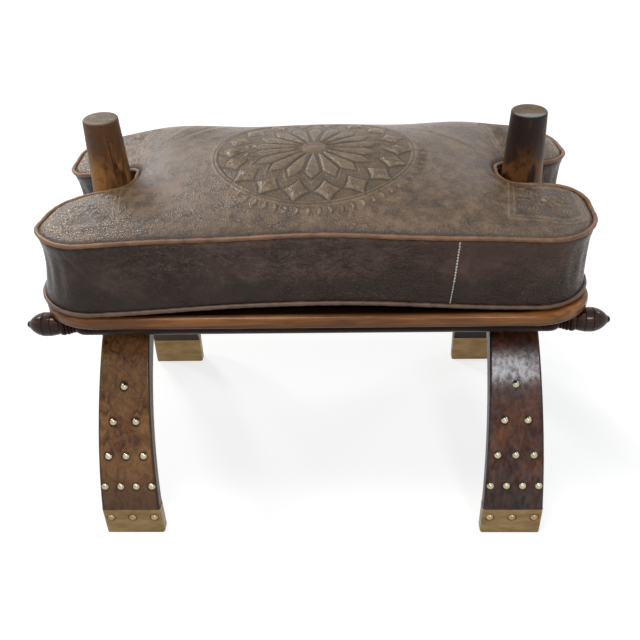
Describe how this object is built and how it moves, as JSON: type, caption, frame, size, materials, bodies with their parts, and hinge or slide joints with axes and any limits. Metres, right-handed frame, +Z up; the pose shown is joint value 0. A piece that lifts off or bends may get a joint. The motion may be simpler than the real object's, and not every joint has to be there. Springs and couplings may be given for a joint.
{
  "type": "camel saddle stool",
  "caption": "Low wooden saddle stool on two arched pairs of curved legs, with turned rails, upright posts and a loose notched leather cushion that lifts off.",
  "frame": {"origin": "on the floor, at the middle of the stool", "axes": "+X along the stool to its right, +Y from the front to the back, +Z up"},
  "size_m": [0.66, 0.376, 0.49],
  "materials": {
    "cover_leather": "embossed dark brown leather, semi-gloss",
    "piping_leather": "tan brown piping leather, worn",
    "filling": "packed stuffing",
    "leg_wood": "lacquered figured brown wood",
    "board_wood": "glossy orange brown wood",
    "rail_wood": "dark turned wood, glossy",
    "post_wood": "rough worn wood",
    "brass": "aged satin brass",
    "steel": "plain screws"
  },
  "bodies": {
    "frame": {"back_left_cap_tacks": "brass", "back_left_foot_cap": "brass", "back_left_leg": "leg_wood", "back_left_leg_studs": "brass", "back_rail": "rail_wood", "back_right_cap_tacks": "brass", "back_right_foot_cap": "brass", "back_right_leg": "leg_wood", "back_right_leg_studs": "brass", "front_left_cap_tacks": "brass", "front_left_foot_cap": "brass", "front_left_leg": "leg_wood", "front_left_leg_studs": "brass", "front_rail": "rail_wood", "front_right_cap_tacks": "brass", "front_right_foot_cap": "brass", "front_right_leg": "leg_wood", "front_right_leg_studs": "brass", "left_cross_rail": "rail_wood", "left_crown_block": "leg_wood", "left_post": "post_wood", "left_post_peg": "post_wood", "leg_dowels": "leg_wood", "right_cross_rail": "rail_wood", "right_crown_block": "leg_wood", "right_post": "post_wood", "right_post_peg": "post_wood", "seat_board": "board_wood", "seat_screws": "steel"},
    "cushion": {"cushion_filling": "filling", "cushion_top_panel": "cover_leather", "cushion_side_band": "cover_leather", "cushion_bottom_panel": "cover_leather", "top_piping": "piping_leather", "bottom_piping": "piping_leather"}
  },
  "joints": [
    {"name": "cushion_lift", "type": "slide", "parent": "frame", "child": "cushion", "axis": [0, 0, 1], "range_m": [0, 0.17]}
  ]
}
